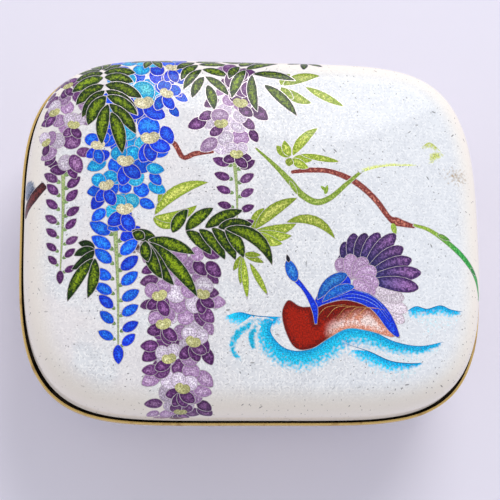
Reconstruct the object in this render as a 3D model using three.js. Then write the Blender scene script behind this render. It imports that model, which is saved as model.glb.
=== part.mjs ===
// A lidded enamel box: two enamelled copper shells with metal rims, the lid resting loose on the box.
// Millimetres, +Z up. The origin is the middle of the footprint, on the surface that the box stands on.
import * as THREE from "three";

// The outline seen from above is a superellipse, |x / a|^m + |y / b|^n = 1. Higher powers are squarer.
const LENGTH = 120; // along X, over the enamelled walls at the mouth
const WIDTH = 96; // along Y, over the enamelled walls at the mouth
const LONG_SIDE_POWER = 5.4; // the power m, which makes the long sides nearly straight
const BOX_SHORT_SIDE_POWER = 3.5; // the power n of the box: its short sides bow outwards
const LID_SHORT_SIDE_POWER = 3.2; // the lid's corners are a little rounder than the box's

// The enamelled shells: a leaning side, a rounded shoulder, then the lid's crown or the box's flat bottom.
const WALL = 2.2; // copper with enamel on both faces
const LEAN = 3; // degrees that the sides lean inwards from upright
const LID_SIDE = 4.5;
const LID_SHOULDER = 9; // radius
const LID_CROWN = 3.2; // rise from the shoulder to the middle of the lid
const BOX_SIDE = 16.5;
const BOX_SHOULDER = 9.5; // radius

// The box's gilt rim: a flat seat for the lid inside a raised bead, and a collar that stands in the mouth.
const RIM_PROUD = 1.1; // how far the rim stands out from the enamelled wall
const RIM_THICKNESS = 1.6;
const BEAD_WIDTH = 0.8;
const BEAD_HEIGHT = 0.6; // above the seat
const COLLAR_THICKNESS = 0.9;
const COLLAR_RISE = 5; // above the seat, inside the lid
const COLLAR_DROP = 4; // below the seat, inside the box
const FIT_CLEARANCE = 0.3; // between the collar and each shell's inner face

// The metal band under the lid's bare edge, and the foot under the box.
const LID_BAND_HEIGHT = 1;
const FOOT_HEIGHT = 2.5;
const FOOT_WIDTH = 2;
const FOOT_SETBACK = 0.6; // from where the box's bottom turns flat to the foot
const FOOT_ROUNDING = 0.5; // radius of the foot's lower edges

// How finely the curves are faceted.
const SIDES = 72; // round the outline, a multiple of 4
const SHOULDER_STEPS = 6;
const CROWN_STEPS = 5;
const ROUNDING_STEPS = 3;

// What follows from the sizes above.
const boxShell = { side: BOX_SIDE, shoulder: BOX_SHOULDER, crown: 0, shortPower: BOX_SHORT_SIDE_POWER };
const lidShell = {
  side: LID_SIDE,
  shoulder: LID_SHOULDER,
  crown: LID_CROWN,
  shortPower: LID_SHORT_SIDE_POWER,
};
const lean = THREE.MathUtils.degToRad(LEAN);
const boxLipZ = FOOT_HEIGHT + shellSection(boxShell, 0).at(-1).height;
const seatZ = boxLipZ + RIM_THICKNESS;
const lidLipZ = seatZ + LID_BAND_HEIGHT;

// The angle at which the shoulder runs into the crown, 0 for a flat bottom.
function crownSlope({ shoulder, crown }) {
  const reach = (LENGTH + WIDTH) / 4 - shoulder;
  return Math.atan((2 * crown) / reach);
}

// One face of a shell from its lip to the middle, as steps of inset from the outline, height above the
// lip, and spread: 1 for a full ring, less for a ring drawn in towards the middle, and 0 for the middle.
// The depth below the outer face is 0 for that face and WALL for the inner one.
function shellSection(shell, depth) {
  const { side, shoulder, crown } = shell;
  const centre = {
    inset: side * Math.tan(lean) + shoulder * Math.cos(lean),
    height: side - shoulder * Math.sin(lean),
  };
  const arc = new THREE.EllipseCurve(
    centre.inset,
    centre.height,
    shoulder - depth,
    shoulder - depth,
    Math.PI - lean,
    Math.PI / 2 + crownSlope(shell),
    true,
  );
  const steps = [{ inset: depth / Math.cos(lean), height: 0, spread: 1 }];
  for (const { x, y } of arc.getPoints(SHOULDER_STEPS)) {
    steps.push({ inset: x, height: y, spread: 1 });
  }
  const edge = steps.at(-1);
  const outerEdgeHeight = centre.height + shoulder * Math.cos(crownSlope(shell));
  const rise = outerEdgeHeight + crown - depth - edge.height;
  const crownSteps = crown > 0 ? CROWN_STEPS : 1;
  for (let step = 1; step <= crownSteps; step += 1) {
    const spread = 1 - step / crownSteps;
    steps.push({ inset: edge.inset, height: edge.height + rise * (1 - spread ** 2), spread });
  }
  return steps;
}

// A point of the outline and its outward direction, at an angle that runs once round in a full turn.
function outlineAt(angle, shortPower) {
  const halves = new THREE.Vector2(LENGTH / 2, WIDTH / 2);
  const raised = (value, power) => Math.sign(value) * Math.abs(value) ** power;
  const point = new THREE.Vector2(
    halves.x * raised(Math.cos(angle), 2 / LONG_SIDE_POWER),
    halves.y * raised(Math.sin(angle), 2 / shortPower),
  );
  const outward = new THREE.Vector2(
    (LONG_SIDE_POWER * raised(point.x / halves.x, LONG_SIDE_POWER - 1)) / halves.x,
    (shortPower * raised(point.y / halves.y, shortPower - 1)) / halves.y,
  ).normalize();
  return { point, outward };
}

// A ring of points at one inset and height. A ring with no spread is a single point.
function ring({ shortPower, inset, z, spread = 1 }) {
  if (spread === 0) {
    return [new THREE.Vector3(0, 0, z)];
  }
  return Array.from({ length: SIDES }, (_, side) => {
    const { point, outward } = outlineAt((side / SIDES) * 2 * Math.PI, shortPower);
    const { x, y } = point.addScaledVector(outward, -inset).multiplyScalar(spread);
    return new THREE.Vector3(x, y, z);
  });
}

// Joins each ring to the next with triangles that face outwards when the rings climb an outside face.
// The chain ends in single points, or runs on from its last ring to its first.
function skin(rings, closed = false) {
  const positions = [];
  const starts = rings.map((points) => {
    const start = positions.length / 3;
    points.forEach((point) => positions.push(...point.toArray()));
    return start;
  });
  const vertex = (row, side) => starts[row] + (rings[row].length === 1 ? 0 : side % SIDES);
  const faces = [];
  const rows = closed ? rings.length : rings.length - 1;
  for (let row = 0; row < rows; row += 1) {
    const next = (row + 1) % rings.length;
    for (let side = 0; side < SIDES; side += 1) {
      if (rings[row].length > 1) {
        faces.push(vertex(row, side), vertex(row, side + 1), vertex(next, side + 1));
      }
      if (rings[next].length > 1) {
        faces.push(vertex(row, side), vertex(next, side + 1), vertex(next, side));
      }
    }
  }
  const geometry = new THREE.BufferGeometry();
  geometry.setAttribute("position", new THREE.Float32BufferAttribute(positions, 3));
  geometry.setIndex(faces);
  geometry.computeVertexNormals();
  return geometry;
}

// A hollow shell with its lip at lipZ, which domes upwards when way is 1 and downwards when it is -1.
function shellGeometry(shell, lipZ, way) {
  const place = ({ inset, height, spread }) =>
    ring({ shortPower: shell.shortPower, inset, z: lipZ + way * height, spread });
  const inner = shellSection(shell, WALL).reverse().map(place);
  const outer = shellSection(shell, 0).map(place);
  const chain = [...inner, ...outer];
  return skin(way > 0 ? chain : chain.reverse());
}

// A band that runs round the outline with the given section, listed from its lower outer corner upwards.
function bandGeometry(section) {
  return skin(section.map(ring), true);
}

// Section points along a circle's arc from one angle to another, anticlockwise when the angle grows.
function rounding(shortPower, inset, z, radius, fromDegrees, toDegrees) {
  const arc = new THREE.EllipseCurve(
    inset,
    z,
    radius,
    radius,
    THREE.MathUtils.degToRad(fromDegrees),
    THREE.MathUtils.degToRad(toDegrees),
    toDegrees < fromDegrees,
  );
  return arc.getPoints(ROUNDING_STEPS).map(({ x, y }) => ({ shortPower, inset: x, z: y }));
}

function boxRimGeometry() {
  const box = BOX_SHORT_SIDE_POWER;
  const lid = LID_SHORT_SIDE_POWER;
  const crest = BEAD_WIDTH / 2;
  const collarOuter = WALL / Math.cos(lean) + FIT_CLEARANCE;
  const collarInner = collarOuter + COLLAR_THICKNESS;
  return bandGeometry([
    ...rounding(box, crest - RIM_PROUD, boxLipZ + crest, crest, 270, 180),
    ...rounding(box, crest - RIM_PROUD, seatZ + BEAD_HEIGHT - crest, crest, 180, 0),
    { shortPower: box, inset: BEAD_WIDTH - RIM_PROUD, z: seatZ },
    { shortPower: lid, inset: collarOuter, z: seatZ },
    { shortPower: lid, inset: collarOuter, z: seatZ + COLLAR_RISE },
    { shortPower: lid, inset: collarInner, z: seatZ + COLLAR_RISE },
    { shortPower: lid, inset: collarInner, z: seatZ - COLLAR_DROP },
    { shortPower: lid, inset: collarOuter, z: seatZ - COLLAR_DROP },
    { shortPower: lid, inset: collarOuter, z: boxLipZ },
  ]);
}

function lidRimGeometry() {
  const shortPower = LID_SHORT_SIDE_POWER;
  const inner = WALL / Math.cos(lean);
  return bandGeometry([
    { shortPower, inset: 0, z: seatZ },
    { shortPower, inset: 0, z: lidLipZ },
    { shortPower, inset: inner, z: lidLipZ },
    { shortPower, inset: inner, z: seatZ },
  ]);
}

function footRimGeometry() {
  const shortPower = BOX_SHORT_SIDE_POWER;
  const outer = shellSection(boxShell, 0).at(-1).inset + FOOT_SETBACK;
  const inner = outer + FOOT_WIDTH;
  return bandGeometry([
    ...rounding(shortPower, outer + FOOT_ROUNDING, FOOT_ROUNDING, FOOT_ROUNDING, 270, 180),
    { shortPower, inset: outer, z: FOOT_HEIGHT },
    { shortPower, inset: inner, z: FOOT_HEIGHT },
    ...rounding(shortPower, inner - FOOT_ROUNDING, FOOT_ROUNDING, FOOT_ROUNDING, 360, 270),
  ]);
}

function piece(name, geometry, color, roughness, metalness) {
  const material = new THREE.MeshStandardMaterial({ color, roughness, metalness });
  const mesh = new THREE.Mesh(geometry, material);
  mesh.name = name;
  return mesh;
}

const SILVER_WHITE_ENAMEL = 0xdfe2e4;
const GILT_BRASS = 0xc9a24e;
const DARKENED_BRASS = 0x2c2219;

const model = new THREE.Group();
model.add(
  piece("box", shellGeometry(boxShell, boxLipZ, -1), SILVER_WHITE_ENAMEL, 0.2, 0.1),
  piece("box_rim", boxRimGeometry(), GILT_BRASS, 0.35, 0.9),
  piece("foot_rim", footRimGeometry(), GILT_BRASS, 0.4, 0.9),
  piece("lid", shellGeometry(lidShell, lidLipZ, 1), SILVER_WHITE_ENAMEL, 0.2, 0.1),
  piece("lid_rim", lidRimGeometry(), DARKENED_BRASS, 0.5, 0.8),
);

export default model;
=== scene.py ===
"""The looks of a lidded enamel box: a wired enamel picture on a silver ground, and its gilt rims.

The drawing functions work in millimetres and the meshes are in metres. A picture is drawn flat, on a
chart of the surface that it lies on, and then laid over the shell.
"""
import math

import bpy
import numpy as np
from mathutils import Matrix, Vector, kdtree
from mathutils.geometry import delaunay_2d_cdt


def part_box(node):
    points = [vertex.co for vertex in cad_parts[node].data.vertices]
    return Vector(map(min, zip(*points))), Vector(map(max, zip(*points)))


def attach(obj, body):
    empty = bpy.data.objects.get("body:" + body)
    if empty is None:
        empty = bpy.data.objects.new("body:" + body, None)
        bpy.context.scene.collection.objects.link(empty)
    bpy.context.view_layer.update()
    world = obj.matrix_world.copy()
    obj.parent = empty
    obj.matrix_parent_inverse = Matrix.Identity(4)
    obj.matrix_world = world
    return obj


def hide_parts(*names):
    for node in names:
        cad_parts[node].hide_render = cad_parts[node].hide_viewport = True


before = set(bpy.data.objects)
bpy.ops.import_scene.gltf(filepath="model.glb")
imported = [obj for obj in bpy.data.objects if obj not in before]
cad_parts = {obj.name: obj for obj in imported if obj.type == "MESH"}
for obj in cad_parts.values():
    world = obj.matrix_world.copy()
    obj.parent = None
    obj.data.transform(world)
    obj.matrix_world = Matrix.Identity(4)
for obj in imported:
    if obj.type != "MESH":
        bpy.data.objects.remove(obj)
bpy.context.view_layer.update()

MM = 0.001


def node_box(node):
    """A node's lowest and highest corners in millimetres."""
    low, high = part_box(node)
    return np.array(low) / MM, np.array(high) / MM


# Sizes that the CAD nodes give.
HALF_LENGTH, HALF_WIDTH, BOX_LIP_Z = node_box("box")[1]
LID_LIP_Z = node_box("lid")[0][2]
SEAT_Z = node_box("lid_rim")[0][2]
RIM_TOP_Z = node_box("box_rim")[1][2]
FOOT_HEIGHT = node_box("foot_rim")[1][2]
RIM_PROUD = node_box("box_rim")[1][0] - HALF_LENGTH

# Sizes that part.mjs names, repeated here because the boxes don't show them.
LONG_SIDE_POWER = 5.4
BOX_SHORT_SIDE_POWER = 3.5
LID_SHORT_SIDE_POWER = 3.2
WALL = 2.2
LEAN = math.radians(3)
LID_SIDE = 4.5
LID_SHOULDER = 9.0
LID_CROWN = 3.2
BOX_SIDE = 16.5
BOX_SHOULDER = 9.5
BEAD_WIDTH = 0.8
BEAD_HEIGHT = 0.6
COLLAR_THICKNESS = 0.9
COLLAR_DROP = 4.0
FIT_CLEARANCE = 0.3
FOOT_WIDTH = 2.0
FOOT_SETBACK = 0.6
FOOT_ROUNDING = 0.5

# How far in under the lid the rim's seat is painted near-black, as painted shadow in the gap under the lid's
# edge.
SEAT_SHADE = 0.6

# How finely the meshes are cut.
GRID = 0.85
GRID_JITTER = 0.12
LONGEST_SIDE = 0.6
OUTLINE_STEPS = 7200
RIM_STEPS = 480
RINGS_DOWN = 14
CAP_RINGS = 8
ROUNDING_STEPS = 8
BLADE_STEPS = 12
NEAREST_ROUNDS = 12

# The rims' eased edges and unevenness, and the angle from which an edge looks sharp.
EASING = 0.15
WOBBLE = 0.05
SHARP_ANGLE = math.radians(40)

# The seeds of the random draws.
RIM_SEED = 3
LID_GRID_SEED = 5
BOX_GRID_SEED = 6
LID_PICTURE_SEED = 11
SIDE_PICTURE_SEED = 23


# The form of the shells.


def unit(vectors):
    """The vectors at length 1."""
    return vectors / np.linalg.norm(vectors, axis=-1, keepdims=True)


def left_of(vectors):
    """The vectors turned a quarter to the left."""
    return np.stack([-vectors[..., 1], vectors[..., 0]], axis=-1)


def ray(angle):
    """The unit vector at an angle in degrees."""
    turn = math.radians(angle)
    return np.array([math.cos(turn), math.sin(turn)])


def graded(values, share):
    """Reads off values that are spread evenly over the way from 0 to 1."""
    return np.interp(share, np.linspace(0, 1, len(values)), values)


def even_outline(count, short_power):
    """Points set evenly round the outline, their outward directions, and the distance round it."""
    turn = np.linspace(0, 2 * np.pi, 4 * OUTLINE_STEPS + 1)
    cos, sin = np.cos(turn), np.sin(turn)
    x = np.sign(cos) * np.abs(cos) ** (2 / LONG_SIDE_POWER)
    y = np.sign(sin) * np.abs(sin) ** (2 / short_power)
    run = np.concatenate([[0], np.cumsum(np.hypot(np.diff(x) * HALF_LENGTH, np.diff(y) * HALF_WIDTH))])
    even = np.linspace(0, run[-1], count, endpoint=False)
    x, y = np.interp(even, run, x), np.interp(even, run, y)
    across = LONG_SIDE_POWER * np.sign(x) * np.abs(x) ** (LONG_SIDE_POWER - 1) / HALF_LENGTH
    along = short_power * np.sign(y) * np.abs(y) ** (short_power - 1) / HALF_WIDTH
    return np.column_stack([x * HALF_LENGTH, y * HALF_WIDTH]), unit(np.column_stack([across, along])), run[-1]


class Shell:
    """A shell's outer face, from its lip over the shoulder to the crown or flat bottom.

    Way is 1 for a shell that domes upwards and -1 for one that hangs down.
    """

    def __init__(self, lip_z, way, side, shoulder, crown, short_power):
        self.lip_z, self.way, self.shoulder, self.crown = lip_z, way, shoulder, crown
        self.slope = math.atan(2 * crown / ((HALF_LENGTH + HALF_WIDTH) / 2 - shoulder))
        self.centre_inset = side * math.tan(LEAN) + shoulder * math.cos(LEAN)
        self.centre_height = side - shoulder * math.sin(LEAN)
        self.arc = shoulder * (math.pi / 2 - LEAN - self.slope)
        self.reach = self.arc + side / math.cos(LEAN)
        self.edge_inset = self.centre_inset - shoulder * math.sin(self.slope)
        self.edge_height = self.centre_height + shoulder * math.cos(self.slope)
        self.points, self.outward, self.perimeter = even_outline(OUTLINE_STEPS, short_power)
        edge = self.points - self.edge_inset * self.outward
        self.edge_angle = np.unwrap(np.arctan2(edge[:, 1], edge[:, 0]))
        self.edge_radius = np.hypot(*edge.T)

    def at(self, run):
        """Outline points and outward directions at distances round the outline."""
        steps = run / self.perimeter * OUTLINE_STEPS
        low = np.floor(steps).astype(int)
        share = (steps - low)[:, None]
        first, second = low % OUTLINE_STEPS, (low + 1) % OUTLINE_STEPS
        point = self.points[first] * (1 - share) + self.points[second] * share
        outward = self.outward[first] * (1 - share) + self.outward[second] * share
        return point, unit(outward)

    def edge_at(self, angle):
        """Distance from the middle to the crown's edge."""
        return np.interp(angle % (2 * np.pi), self.edge_angle, self.edge_radius, period=2 * np.pi)

    def nearest(self, chart):
        """How far round the outline chart points lie, and how far outside it."""
        angle = np.arctan2(chart[:, 1], chart[:, 0]) % (2 * np.pi)
        polar = np.unwrap(np.arctan2(self.points[:, 1], self.points[:, 0]))
        steps = np.interp(angle, polar, np.arange(OUTLINE_STEPS), period=2 * np.pi)
        run = steps * self.perimeter / OUTLINE_STEPS
        for _ in range(NEAREST_ROUNDS):
            point, outward = self.at(run)
            away = chart - point
            run = run + 0.8 * (away * left_of(outward)).sum(1)
        point, outward = self.at(run)
        return run, ((chart - point) * outward).sum(1)

    def face(self, run, down, depth=0.0):
        """Space points and normals at distances round the outline and down from the crown's edge."""
        angle = math.pi / 2 + self.slope + np.minimum(down, self.arc) / self.shoulder
        bend = self.shoulder - depth
        along = np.maximum(down - self.arc, 0)
        inset = self.centre_inset + bend * np.cos(angle) - along * math.sin(LEAN)
        height = self.centre_height + bend * np.sin(angle) - along * math.cos(LEAN)
        point, outward = self.at(run)
        plan = point - inset[:, None] * outward
        space = np.column_stack([plan, self.lip_z + self.way * height])
        normal = np.column_stack([outward * -np.cos(angle)[:, None], self.way * np.sin(angle)])
        return space, normal

    def place(self, chart):
        """Space points, normals and falls of chart points. The fall is 0 on the crown and 1 at the lip."""
        angle = np.arctan2(chart[:, 1], chart[:, 0])
        edge = self.edge_at(angle)
        spread = np.hypot(*chart.T) / edge
        height = self.edge_height + self.crown * (1 - spread**2)
        space = np.column_stack([chart, self.lip_z + self.way * height])
        step = 1e-4
        turn = (self.edge_at(angle + step) - self.edge_at(angle - step)) / (2 * step)
        spoke = np.column_stack([np.cos(angle), np.sin(angle)])
        tilt = (2 * self.crown * spread / edge)[:, None] * (spoke - left_of(spoke) * (turn / edge)[:, None])
        normal = np.column_stack([tilt, np.full(len(chart), float(self.way))])
        fall = np.zeros(len(chart))
        beyond = np.flatnonzero(spread > 1)
        run, outside = self.nearest(chart[beyond])
        down = outside + self.edge_inset
        space[beyond], normal[beyond] = self.face(run, down)
        fall[beyond] = down / self.reach
        return space, unit(normal), fall


lid_shell = Shell(LID_LIP_Z, 1, LID_SIDE, LID_SHOULDER, LID_CROWN, LID_SHORT_SIDE_POWER)
box_shell = Shell(BOX_LIP_Z, -1, BOX_SIDE, BOX_SHOULDER, 0.0, BOX_SHORT_SIDE_POWER)


# Lines and outlines to draw with.


def smooth(points, steps=6, closed=False):
    """A curve through the points, with a number of steps from each to the next."""
    knots = np.array(points, float)
    if closed:
        knots = np.vstack([knots[-1:], knots, knots[:2]])
    else:
        knots = np.vstack([2 * knots[0] - knots[1], knots, 2 * knots[-1] - knots[-2]])
    share = np.linspace(0, 1, steps, endpoint=False)[:, None]
    pieces = []
    for a, b, c, d in zip(knots, knots[1:], knots[2:], knots[3:]):
        bend = (2 * a - 5 * b + 4 * c - d) * share**2 + (3 * b - a - 3 * c + d) * share**3
        pieces.append(b + ((c - a) * share + bend) / 2)
    if not closed:
        pieces.append(knots[-2:-1])
    return np.vstack(pieces)


def sideways(line):
    """Directions to the left of a line at each of its points."""
    return left_of(unit(np.gradient(line, axis=0)))


def blade(base, tip, width, base_form=0.6, tip_form=0.9, bend=0.0):
    """A leaf's or petal's outline. A form of 0.5 is a round end and 1 a pointed one.

    The bend is the middle's shift to the left, as a share of the length.
    """
    base, tip = np.array(base, float), np.array(tip, float)
    along = tip - base
    share = (1 - np.cos(np.linspace(0, np.pi, BLADE_STEPS + 1))) / 2
    half = share**base_form * (1 - share) ** tip_form
    half = (half * width / 2 / half.max())[:, None]
    spine = base + share[:, None] * along + (bend * 4 * share * (1 - share))[:, None] * left_of(along)
    left = sideways(spine) * half
    return np.vstack([spine - left, (spine + left)[-2:0:-1]])


def strip(points, widths):
    """The outline of a stroke along a smooth line, whose width changes evenly from point to point."""
    line = smooth(points)
    left = sideways(line) * graded(widths, np.linspace(0, 1, len(line)))[:, None] / 2
    return np.vstack([line - left, (line + left)[::-1]])


def refined(shape):
    """The outline with points added along its longer sides."""
    ring = np.vstack([shape, shape[:1]])
    pieces = []
    for first, second in zip(ring, ring[1:]):
        count = max(1, math.ceil(np.hypot(*(second - first)) / LONGEST_SIDE))
        share = np.linspace(0, 1, count, endpoint=False)[:, None]
        pieces.append(first + (second - first) * share)
    return np.vstack(pieces)


def gap_to(points, line):
    """Distances from points to a line of straight stretches."""
    start, along = line[:-1], np.diff(line, axis=0)
    away = points[:, None] - start[None]
    square = np.maximum((along**2).sum(1), 1e-12)
    share = np.clip((away * along[None]).sum(2) / square, 0, 1)
    return np.linalg.norm(away - share[..., None] * along[None], axis=2).min(1)


def inset(shape, distance):
    """The outline drawn in by a distance, without the points that would come nearer than that."""
    ring = np.vstack([shape, shape[:1]])
    ahead = unit(np.diff(ring, axis=0) + 1e-9)
    along = unit(ahead + np.roll(ahead, 1, axis=0) + 1e-9)
    inner = shape + left_of(along) * distance
    return inner[gap_to(inner, ring) > 0.93 * distance]


def anticlockwise(shape):
    """The outline turned anticlockwise."""
    x, y = shape.T
    return shape if (x * np.roll(y, -1) - y * np.roll(x, -1)).sum() > 0 else shape[::-1]


def lies_inside(points, shape):
    """Whether points lie inside an anticlockwise outline, not counting small loops that run the other way."""
    x, y = points[:, :1], points[:, 1:]
    (first_x, first_y), (next_x, next_y) = shape.T, np.roll(shape, -1, axis=0).T
    side = (next_x - first_x) * (y - first_y) - (x - first_x) * (next_y - first_y)
    rises = (first_y <= y) & (next_y > y) & (side > 0)
    falls = (first_y > y) & (next_y <= y) & (side < 0)
    return rises.sum(1) > falls.sum(1)


# The colours, in 0 to 255: each field's edge and its sparkling middle.

PURPLE = {
    "deep": ((80, 32, 92), (156, 102, 164)),
    "mid": ((96, 50, 106), (168, 124, 172)),
    "pale": ((160, 124, 168), (206, 180, 210)),
    "white": ((200, 184, 206), (236, 230, 238)),
    "heart": ((188, 186, 124), (228, 226, 178)),
}
BLUE = {
    "deep": ((12, 46, 204), (42, 108, 242)),
    "mid": ((8, 74, 216), (44, 144, 240)),
    "pale": ((8, 140, 214), (62, 208, 236)),
    "white": ((30, 170, 222), (120, 226, 238)),
    "heart": ((206, 196, 156), (240, 234, 204)),
}
LEAF = ((14, 46, 2), (132, 158, 18))
DARK_LEAF = ((10, 38, 4), (66, 106, 14))
STALK = ((120, 148, 92), (182, 200, 152))
SPRAY = ((140, 164, 46), (224, 228, 118))
STEM = ((164, 184, 120), (216, 222, 182))
VINE = ((138, 168, 60), (214, 224, 128))
VINE_END = ((40, 146, 62), (112, 204, 110))
BRANCH = ((122, 50, 46), (226, 146, 122))
DARK_BRANCH = ((52, 14, 22), (120, 46, 46))
BODY = ((112, 8, 0), (160, 24, 0))
BREAST = ((224, 146, 120), (242, 218, 212))
WING = ((8, 44, 204), (44, 100, 240))
WING_LIGHT = ((16, 84, 190), (64, 150, 222))
TAIL = ((62, 32, 88), (152, 106, 168))
TAIL_ROOT = ((38, 34, 92), (82, 80, 142))
PLUME = ((172, 138, 180), (212, 190, 218))
PLUME_PALE = ((212, 198, 212), (234, 226, 234))
WATER = ((8, 160, 216), (30, 192, 232))
WATER_PALE = ((150, 208, 222), (176, 222, 232))
WATER_LINE = ((14, 118, 172), (24, 150, 200))
RUST = ((56, 14, 10), (112, 44, 30))
SMUDGE = ((128, 104, 74), (176, 152, 118))
SLATE = ((70, 84, 108), (128, 140, 160))
BEAK = ((14, 14, 26), (40, 44, 70))
FINE_LINE = ((196, 150, 84), (226, 190, 130))
WING_LINE = ((120, 150, 220), (150, 180, 236))


def linear(colour):
    """The linear light of a colour given in 0 to 255."""
    value = np.array(colour, float) / 255
    return np.where(value <= 0.04045, value / 12.92, ((value + 0.055) / 1.055) ** 2.4)


# The picture, as a list of fields from the undermost to the topmost.

WIRE = 0.15
THIN_WIRE = 0.11

# How far from its ends a wash is full.
WASH_TAPER = 3.0


class Picture:
    """Fields of enamel drawn on a chart. Later fields lie over earlier ones."""

    def __init__(self, seed):
        self.fields = []
        self.random = np.random.default_rng(seed)

    def field(self, shape, tone, wire=WIRE, cover=None):
        """One field. With no wire it only fades into what lies round it, as its cover function says."""
        self.fields.append((anticlockwise(refined(shape)), tone, wire, cover))

    def stroke(self, line, widths, tone, wire=WIRE):
        """A band of colour along a line."""
        self.field(strip(line, widths), tone, wire)

    def petal(self, base, length, width, angle, tone, wire=WIRE, **form):
        """A blade from its base at an angle in degrees."""
        self.field(blade(base, np.array(base) + length * ray(angle), width, **form), tone, wire)

    def round(self, centre, radius, tone):
        """A round petal, a little uneven."""
        angle = self.random.uniform(0, 360)
        base = np.array(centre) - radius * ray(angle)
        self.petal(base, 2 * radius, 1.84 * radius, angle, tone, base_form=0.5, tip_form=0.46)

    def bed(self, axis, tones, inner, row=3.1, rim=("deep", "deep", "mid"), gaps=0.2):
        """Rows of petals that fill a raceme: round ones inside, and pointed ones that lean out at its sides.

        The axis lists x, y and the half width from the tip up.
        """
        axis = np.array(axis, float)
        for index, y in enumerate(np.arange(axis[0, 1], axis[-1, 1], row)):
            x = np.interp(y, axis[:, 1], axis[:, 0])
            half = (np.interp(y, axis[:, 1], axis[:, 2]) - 1.6) * self.random.uniform(0.82, 1.08)
            count = max(2, round(2 * half / 3.5) + index % 2)
            for share in sorted(np.linspace(-1, 1, count), key=abs):
                spot = np.array([x + share * half, y]) + self.random.uniform(-0.8, 0.8, 2)
                if abs(share) > 0.6:
                    if self.random.random() < gaps:
                        continue
                    length = self.random.uniform(3.9, 5.8)
                    angle = -90 + 58 * share + self.random.uniform(-34, 34)
                    base = spot - 0.5 * length * ray(angle)
                    self.petal(base, length, 0.66 * length, angle, tones[self.random.choice(rim)],
                               base_form=0.58, tip_form=0.72)
                else:
                    self.round(spot, self.random.uniform(2.0, 2.7), tones[self.random.choice(inner)])

    def blossom(self, heart, tones, size=1.0, turn=0.0, banner="pale", wings=(-48, 40), lobes=2):
        """One hanging blossom: a round banner over a two-lobed heart, and wings that spread below."""
        heart = np.array(heart, float)
        jitter = self.random.uniform(-9, 9, len(wings) + 1)
        rise = ray(90 + turn + jitter[0])
        side = left_of(rise)
        if lobes == 1:
            self.round(heart + size * 3.2 * rise, 3.1 * size, tones[banner])
        for way in (-1, 1) if lobes == 2 else ():
            self.round(heart + size * (2.7 * rise + way * 1.8 * side), 2.4 * size, tones[banner])
        for angle, shift in zip(wings, jitter[1:]):
            tone = tones["deep"] if self.random.random() < 0.75 else tones["mid"]
            length = size * self.random.uniform(5.2, 6.0)
            base = heart - 0.5 * size * rise + side * math.copysign(0.4, angle)
            self.petal(base, length, 0.66 * length, angle + turn - 90 + shift, tone,
                       base_form=0.6, tip_form=0.6)
        for way in (-1, 1):
            self.petal(heart - 0.9 * size * rise - 0.5 * size * way * side, 3.5 * size, 2.7 * size,
                       90 + turn + way * 42 + jitter[0], tones["heart"], 0, base_form=0.7, tip_form=0.45)

    def tail(self, top, bottom, tones, buds, length=3.6, spread=122):
        """A raceme's tip: pairs of buds that point up and out from a stem, each from a small green cup."""
        top, bottom = np.array(top, float), np.array(bottom, float)
        self.stroke([top, (top + bottom) / 2 + (0.3, 0), bottom], (1.3, 0.8, 0.45), STEM, THIN_WIRE)
        down = unit(bottom - top)
        heading = math.degrees(math.atan2(down[1], down[0]))
        form = {"base_form": 0.62, "tip_form": 0.75}
        for pair in range(buds):
            share = (pair + 0.7) / buds
            size = 1.14 - 0.36 * share
            for way in (-1, 1):
                base = top + (bottom - top) * (share + 0.03 * way) + left_of(down) * way * 0.5
                angle = heading + way * (spread + self.random.uniform(-10, 10))
                self.petal(base, 2 * size, 1.1 * size, angle, STALK, 0)
                tone = tones["deep"] if self.random.random() < 0.6 else tones["mid"]
                bud = base + 0.8 * size * ray(angle)
                self.petal(bud, length * size, 0.58 * length * size, angle, tone, **form)
        self.petal(bottom - down, 0.9 * length, 0.5 * length, heading, tones["deep"], **form)

    def leaf(self, base, tips, width, tone=LEAF, wire=WIRE, bend=0.06):
        """Leaflets from one base to several tips. They curve away from the middle one."""
        base = np.array(base, float)
        middle = unit(np.mean(np.array(tips, float) - base, axis=0))
        for tip in tips:
            along = np.array(tip, float) - base
            side = np.sign(middle[0] * along[1] - middle[1] * along[0])
            length = np.hypot(*along)
            narrow = width * (0.75 + 0.25 * min(length / 14, 1.2))
            self.field(blade(base + 0.05 * along, tip, narrow, 0.75, 0.85, bend * side), tone, wire)

    def frond(self, line, pairs, lengths, spread, width):
        """Leaflets in pairs along a stalk and one at its end. The lengths run from the base to the end."""
        stalk = smooth(line, 8)
        along = np.gradient(stalk, axis=0)
        heading = np.degrees(np.arctan2(along[:, 1], along[:, 0]))
        for pair in range(pairs):
            share = pair / pairs
            step = round((0.05 + 0.9 * share) * (len(stalk) - 1))
            for way in (-1, 1):
                length = graded(lengths, share) * self.random.uniform(0.88, 1.1)
                angle = heading[step] + way * (spread * (1 - 0.8 * share) + self.random.uniform(-7, 7))
                self.petal(stalk[step], length, width * self.random.uniform(0.85, 1.1), angle, LEAF,
                           base_form=0.75, tip_form=0.85, bend=0.07 * way)
        self.petal(stalk[-1], lengths[-1], width, heading[-1], LEAF, base_form=0.7, tip_form=0.85, bend=0.05)

    def fan(self, base, first, last, count, lengths, width, tone=LEAF, wire=WIRE):
        """Leaflets fanned out between two angles in degrees, with lengths from first to middle to last."""
        for share in np.linspace(0, 1, count):
            angle = first + (last - first) * share + self.random.uniform(-4, 4)
            self.leaf(base, [np.array(base) + graded(lengths, share) * ray(angle)], width, tone, wire, 0.0)

    def wash(self, line, depth, tone, strength=1.0, both=False):
        """Colour that is full along a line and fades to the left of it, or both ways, and at its ends."""
        edge = smooth(line)
        reach = graded(depth, np.linspace(0, 1, len(edge)))
        away = sideways(edge) * reach[:, None]
        near = edge - away if both else edge
        least = 0.1 * max(depth)

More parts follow.
